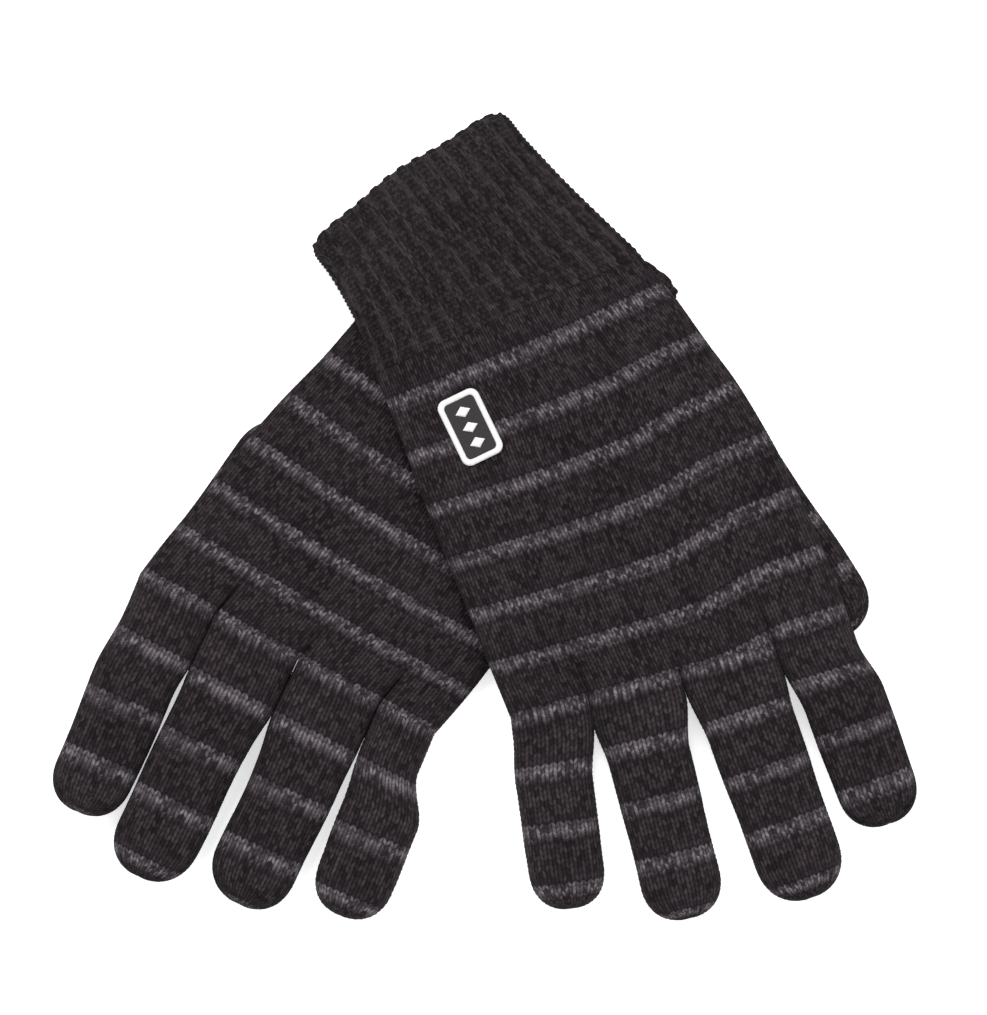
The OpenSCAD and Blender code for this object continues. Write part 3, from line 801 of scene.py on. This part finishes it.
def yarn_material(name, dark, light, stripe=None, stripe_from=0.0, fleck=0.0, rib=False):
    """Knitting in melange yarn: each leg of each stitch has its own shade, with fibres on it."""
    n = Nodes(name)
    wale, course, leg, bulge, legs = stitch_parts(n)
    where = n.add("ShaderNodeTexCoord").outputs["Object"]
    fibres = n.noise(where, 2600, 3, 0.6)
    drift = n.noise(where, 70, 2)
    # a leg is light along its crest and dark in the gaps round it: painted shade in the gaps between the
    # stitches
    painted_gap_shade = n.math("MULTIPLY", n.math("POWER", leg, 0.8),
                   n.math("ADD", n.math("MULTIPLY", n.math("POWER", bulge, 0.6), 0.55), 0.45))
    if rib:
        # on a rib, painted shade darkens the sunk purl wales between the raised ones
        turn = n.math("ABSOLUTE", n.math("SUBTRACT", n.math("FRACT", n.math("DIVIDE", wale, RIB)), 0.5))
        raised = n.math("ADD", n.math("DIVIDE", n.math("SUBTRACT", 0.25, turn), 0.14), 0.5, clamp=True)
        sunk = n.math("ADD", n.math("MULTIPLY", bulge, 0.24), 0.16)
        on_rib = n.math("ADD", n.math("MULTIPLY", painted_gap_shade, 0.75), 0.2)
        painted_gap_shade = n.math("ADD", n.math("MULTIPLY", raised, on_rib),
                       n.math("MULTIPLY", n.math("SUBTRACT", 1.0, raised), sunk))
    tone = n.math("ADD", n.math("MULTIPLY", legs, 0.85), n.math("MULTIPLY", fibres, 0.9))
    tone = n.math("SUBTRACT", n.math("ADD", tone, n.math("MULTIPLY", drift, 0.4)), 0.62, clamp=True)
    # the mix of dark and light yarn: the legs' own tone times the painted shade in the gaps
    shade = n.math("MULTIPLY", painted_gap_shade, n.math("ADD", n.math("MULTIPLY", tone, 0.85), 0.16), clamp=True)
    colour = n.mix(shade, dark, light)
    if fleck:
        spot = n.math("GREATER_THAN", n.noise(where, 1500, 1), 0.66)
        colour = n.mix(n.math("MULTIPLY", spot, fleck), colour, FLECK)
    if stripe:
        row = n.math("FLOOR", n.math("SUBTRACT", course, (LENGTH_START + stripe_from) / COURSE - 1.7))
        turn = n.math("FLOORED_MODULO", row, STRIPE_ROWS)
        # of a stripe's three rows the middle one is the brightest and the last one the faintest
        whole = n.math("MULTIPLY", n.math("LESS_THAN", turn, 1.5), 0.9)
        part = n.math("MULTIPLY", n.math("COMPARE", turn, 2.0, 0.1), 0.5)
        middle = n.math("ADD", n.math("MULTIPLY", n.math("COMPARE", turn, 1.0, 0.1), 0.3), 0.7)
        # the two rows before a stripe, its own rows and the row after it lie on a faint dark band
        band = n.math("FLOORED_MODULO", n.math("ADD", row, 2.0), STRIPE_ROWS)
        beside = n.math("COMPARE", band, 2.5, 2.6)
        colour = n.mix(n.math("MULTIPLY", beside, 0.22), colour, stripe[2])
        bright = n.math("ADD", n.math("MULTIPLY", n.math("POWER", legs, 1.3), 0.8),
                        n.math("MULTIPLY", fibres, 0.55))
        bright = n.math("MULTIPLY", n.math("SUBTRACT", bright, 0.22), middle)
        # the stripe's yarn takes the same painted shade in the gaps between the stitches
        bright = n.math("MULTIPLY", bright, painted_gap_shade, clamp=True)
        yarn = n.mix(bright, stripe[0], stripe[1])
        colour = n.mix(n.math("MAXIMUM", whole, part), colour, yarn)
    n.link(colour, n.shader.inputs["Base Color"])
    set_finish(n.shader, 0.95, 0.03, 0.08)
    twist = n.add("ShaderNodeCombineXYZ")
    n.link(n.math("MULTIPLY", wale, 9), twist.inputs[0])
    n.link(n.math("MULTIPLY", course, 5), twist.inputs[1])
    strands = n.noise(twist.outputs[0], 1.0, 2, 0.6)
    n.bump(n.math("ADD", strands, n.math("MULTIPLY", fibres, 0.8)), 0.5, 0.0003)
    return n.material


def thread_material(name, dark, light, rough, sheen, scale):
    """Plain thread or cloth with fine strands."""
    n = Nodes(name)
    where = n.add("ShaderNodeTexCoord").outputs["Object"]
    strands = n.noise(where, scale, 3, 0.6)
    n.link(n.mix(strands, dark, light), n.shader.inputs["Base Color"])
    set_finish(n.shader, rough, sheen, 0.3)
    n.bump(strands, 0.4, 0.0002)
    return n.material


DARK = (0.0024, 0.0018, 0.0020)
LIGHT = (0.060, 0.0475, 0.0525)
RIB_LIGHT = (0.072, 0.058, 0.062)
STRIPE = ((0.014, 0.0115, 0.0145), (0.29, 0.255, 0.285), (0.010, 0.007, 0.012))  # dark, light, band
FLECK = (0.07, 0.067, 0.07)
MATERIALS = {
    "left_striped": yarn_material("left striped knit", DARK, LIGHT, STRIPE, STRIPE_START[LEFT]),
    "right_striped": yarn_material("right striped knit", DARK, LIGHT, STRIPE, STRIPE_START[RIGHT]),
    "left_touch": yarn_material("left touch knit", DARK, LIGHT, STRIPE, STRIPE_START[LEFT], 0.3),
    "right_touch": yarn_material("right touch knit", DARK, LIGHT, STRIPE, STRIPE_START[RIGHT], 0.3),
    "rib": yarn_material("ribbed knit", DARK, RIB_LIGHT, rib=True),
    "elastic": thread_material("covered elastic", (0.008, 0.008, 0.009), (0.03, 0.03, 0.032),
                               0.7, 0.0, 3000),
    "linking": thread_material("linking yarn", DARK, (0.02, 0.016, 0.018), 0.9, 0.03, 2500),
    "label": thread_material("label satin", (0.26, 0.26, 0.27), (0.36, 0.36, 0.37), 0.35, 0.2, 4000),
    "badge_cloth": thread_material("badge cloth", (0.010, 0.009, 0.010), (0.04, 0.036, 0.038),
                                   0.8, 0.05, 3200),
    "badge_thread": thread_material("badge thread", (0.62, 0.62, 0.61), (0.92, 0.92, 0.91), 0.45, 0.1, 2600),
}


def dress(ob, material):
    ob.data.materials.clear()
    ob.data.materials.append(MATERIALS[material])
    return ob


def dress_node(node, material):
    """Gives a carried-over CAD node its material without touching its mesh."""
    ob = frame["nodes"][node]
    if not ob.material_slots:
        ob.data.materials.append(MATERIALS[material])
    for s in ob.material_slots:
        s.link = "OBJECT"
        s.material = MATERIALS[material]


# --- The badge on the right glove ---

def back_z(u, v):
    e = SIDE_Z * GLOVE_T
    x = (u - HAND_SHIFT[RIGHT] * np.sin(np.pi * v / HAND_L[RIGHT])) / (hand_w(RIGHT, v) / 2)
    return base_z(RIGHT, u, v) + e + (GLOVE_T - e) * top_share(x)


def on_back(x, y, h):
    u, v = BADGE_UV[0] + x, BADGE_UV[1] - y
    px, py = to_page(RIGHT, u, v)
    return np.stack([px, py, back_z(u, v) + h], axis=-1)


def rounded_outline(w, l, r, count):
    """Points evenly spaced round a rectangle with round corners."""
    corners = []
    for sx, sy, start in ((1, 1, 0), (-1, 1, 90), (-1, -1, 180), (1, -1, 270)):
        for a in np.radians(start + np.linspace(0, 90, 13)):
            corners.append((sx * (w / 2 - r) + r * math.cos(a), sy * (l / 2 - r) + r * math.sin(a)))
    path = np.array(corners + corners[:1])
    run = np.concatenate([[0], np.cumsum(np.linalg.norm(np.diff(path, axis=0), axis=1))])
    even = np.linspace(0, run[-1], count + 1)[:-1]
    return np.stack([np.interp(even, run, path[:, k]) for k in range(2)], axis=1)


def mesh_object(name, verts, faces):
    me = bpy.data.meshes.new(name)
    me.from_pydata([tuple(v) for v in np.asarray(verts) * MM], [], faces)
    me.shade_smooth()
    me.validate()
    ob = bpy.data.objects.new(name, me)
    bpy.context.scene.collection.objects.link(ob)
    return ob


PATCH_LOW, PATCH_TOP = -0.2, 0.75
PATCH_POINTS = 96
PATCH_MIDDLE = 0.04       # share of the patch's size at which its cloth closes in the middle
WEAVE_DEPTH = 0.05
WEAVE_TURN = 7.5
BORDER_POINTS = 330
DIAMOND_W, DIAMOND_H = 2.4, 1.75


def make_patch():
    """The badge's cloth: a thin twill patch that follows the knitting under it."""
    outline = rounded_outline(BADGE_SIZE[0], BADGE_SIZE[1], 2.5, PATCH_POINTS)
    shares = np.linspace(PATCH_MIDDLE, 1, 26)
    verts, faces = [], []
    for share, h in [(s, PATCH_TOP) for s in shares] + [(1.0, PATCH_LOW), (PATCH_MIDDLE, PATCH_LOW)]:
        x, y = outline[:, 0] * share, outline[:, 1] * share
        twill = WEAVE_DEPTH * np.sin(WEAVE_TURN * (x + y)) * np.sin(WEAVE_TURN * (x - y))
        weave = twill if h > 0 else 0
        verts.append(on_back(x, y, h + weave))
    n, m = len(outline), len(verts)
    verts = np.concatenate(verts)
    for k in range(m - 1):
        for j in range(n):
            a, b = k * n + j, k * n + (j + 1) % n
            faces.append((a, a + n, b + n, b))
    faces.append(tuple(range(n)))
    faces.append(tuple((m - 1) * n + j for j in range(n))[::-1])
    return mesh_object("right_badge_cloth", verts, faces)


def satin_strip(path_in, path_out, closed, ripple=0.16):
    """Satin stitches laid side by side from one path to the other: a ridged, domed strip."""
    verts, faces = [], []
    n, across = len(path_in), 9
    for k in range(n):
        thread = ripple * (k % 2)
        for j in range(across):
            share = j / (across - 1)
            x = path_in[k][0] * (1 - share) + path_out[k][0] * share
            y = path_in[k][1] * (1 - share) + path_out[k][1] * share
            dome = math.sqrt(max(0, 1 - (2 * share - 1) ** 2))
            verts.append(on_back(np.array(x), np.array(y), PATCH_TOP - 0.1 + (0.75 + thread) * dome))
    last = n if closed else n - 1
    for k in range(last):
        for j in range(across - 1):
            a, b = k * across + j, ((k + 1) % n) * across + j
            faces.append((a, b, b + 1, a + 1))
    return verts, faces


def make_embroidery():
    """A white satin border with a column of three diamonds inside it."""
    inner = rounded_outline(BADGE_SIZE[0] - 3.4, BADGE_SIZE[1] - 3.4, 1.4, BORDER_POINTS)
    outer = rounded_outline(BADGE_SIZE[0] + 0.2, BADGE_SIZE[1] + 0.2, 2.7, BORDER_POINTS)
    strips = [satin_strip(inner, outer, True)]
    for y in (-5.0, 0.0, 5.0):
        xs = np.linspace(-DIAMOND_W, DIAMOND_W, 33)
        half = DIAMOND_H * (1 - np.abs(xs) / 2.5)
        strips.append(satin_strip([(x, y - h) for x, h in zip(xs, half)],
                                  [(x, y + h) for x, h in zip(xs, half)], False, 0.12))
    verts, faces = [], []
    for v, f in strips:
        start = len(verts)
        verts += v
        faces += [tuple(i + start for i in q) for q in f]
    return mesh_object("right_badge_stitching", verts, faces)


# --- Putting the pieces on their bodies ---


def blend_at(ob):
    """The piece's placement is baked into its mesh."""
    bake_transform(ob)


def finger_nodes(g):
    side = SIDES[g]
    for i, finger in enumerate(FINGERS):
        fold = FINGER_L[g][i] / 2
        base = finger_piece(g, i, f"{side}_{finger}_base_knit", 0.0, fold, False)
        dress(base, f"{side}_striped")
        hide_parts(f"{side}_{finger}_base")
        blend_at(base)
        end = finger_end(g, i)
        split = FINGER_L[g][i] - INDEX_CAP_L if i == 0 else end
        tip = finger_piece(g, i, f"{side}_{finger}_tip_knit", fold, split, i > 0)
        dress(tip, f"{side}_striped")
        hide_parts(f"{side}_{finger}_tip")
        blend_at(tip)
        if i == 0:
            cap = finger_piece(g, i, f"{side}_index_cap_knit", split, end, True)
            dress(cap, f"{side}_touch")
            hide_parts(f"{side}_index_touch_cap")
            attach(cap, f"{side}_index_fingertip")


def thumb_nodes(g):
    side = SIDES[g]
    root = THUMB_W / 2 * math.pi / 2
    split = root + THUMB_L - THUMB_CAP_L
    end = root + THUMB_L - THUMB_W / 2 + (math.pi / 2 - TIP_LEFT) * THUMB_W / 2
    body = f"{side}_thumb_tube"
    tube = dress(thumb_piece(g, f"{side}_thumb_knit", 0.6, split, True, False), f"{side}_striped")
    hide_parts(f"{side}_thumb")
    cap = dress(thumb_piece(g, f"{side}_thumb_cap_knit", split, end, False, True), f"{side}_touch")
    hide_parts(f"{side}_thumb_touch_cap")
    gusset = dress(make_gusset(g), f"{side}_striped")
    for ob in (tube, cap, gusset):
        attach(ob, body)


def hand_nodes(g):
    side = SIDES[g]
    hand = dress(make_hand(g), f"{side}_striped")
    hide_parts(f"{side}_hand")
    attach(hand, f"{side}_glove")
    cuff = dress(make_cuff(g), "rib")
    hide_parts(f"{side}_cuff")
    if g == LEFT:
        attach(cuff, "left_glove")
    else:
        blend_at(cuff)
    dress_node(f"{side}_cuff_elastic", "elastic")
    tacks = dress(make_tacks(g), "linking")
    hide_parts(f"{side}_web_tacks")
    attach(tacks, f"{side}_glove")


def badge_nodes():
    cloth = dress(make_patch(), "badge_cloth")
    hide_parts("right_badge_patch")
    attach(cloth, "right_glove")
    stitching = dress(make_embroidery(), "badge_thread")
    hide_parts("right_badge_embroidery")
    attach(stitching, "right_glove")
    dress_node("right_care_label", "label")


# --- Floor, light and camera ---

FRAME_SPAN = 0.3045     # what the long side of the picture shows at the table
CAMERA_HEIGHT = 2.5
CAMERA_SHIFT = (0.0026, 0.0018)


def make_camera():
    lo, hi = (np.array(b) for b in cad_box)
    middle = (lo + hi) / 2
    data = bpy.data.cameras.new("camera")
    data.sensor_width = 36
    data.lens = data.sensor_width * CAMERA_HEIGHT / FRAME_SPAN
    data.clip_end = 100
    cam = bpy.data.objects.new("camera", data)
    cam.location = (middle[0] + CAMERA_SHIFT[0], middle[1] + CAMERA_SHIFT[1], CAMERA_HEIGHT)
    bpy.context.scene.collection.objects.link(cam)
    bpy.context.scene.camera = cam


def make_floor():
    size = 12.0
    me = bpy.data.meshes.new("floor")
    corners = [(-size, -size, 0), (size, -size, 0), (size, size, 0), (-size, size, 0)]
    me.from_pydata(corners, [], [(0, 1, 2, 3)])
    ob = bpy.data.objects.new("floor", me)
    bpy.context.scene.collection.objects.link(ob)
    n = Nodes("pale floor")
    n.shader.inputs["Base Color"].default_value = (0.9, 0.9, 0.9, 1)
    n.shader.inputs["Roughness"].default_value = 0.9
    n.shader.inputs["Specular IOR Level"].default_value = 0.1
    n.shader.inputs["Emission Color"].default_value = (1, 1, 1, 1)
    n.shader.inputs["Emission Strength"].default_value = 0.55
    ob.data.materials.append(n.material)


def area_light(name, place, size, power):
    """A round lamp that is aimed at the middle of the table."""
    data = bpy.data.lights.new(name, "AREA")
    data.shape = "DISK"
    data.size = size
    data.energy = power
    ob = bpy.data.objects.new(name, data)
    ob.location = place
    ob.rotation_euler = (Vector((0, 0, 0)) - Vector(place)).to_track_quat("-Z", "Y").to_euler()
    bpy.context.scene.collection.objects.link(ob)


def make_light():
    world = bpy.data.worlds.new("studio")
    world.use_nodes = True
    background = world.node_tree.nodes["Background"]
    background.inputs["Color"].default_value = (1.0, 1.0, 1.0, 1)
    background.inputs["Strength"].default_value = 0.85
    bpy.context.scene.world = world
    area_light("key", (-0.35, 0.95, 1.25), 0.7, 15.0)
    area_light("fill", (0.8, -0.5, 1.5), 1.2, 7.0)
    bpy.context.scene.view_settings.view_transform = "Standard"
    bpy.context.scene.view_settings.look = "None"


check_chart()
make_camera()
make_floor()
make_light()
for glove in (LEFT, RIGHT):
    hand_nodes(glove)
    finger_nodes(glove)
    thumb_nodes(glove)
badge_nodes()
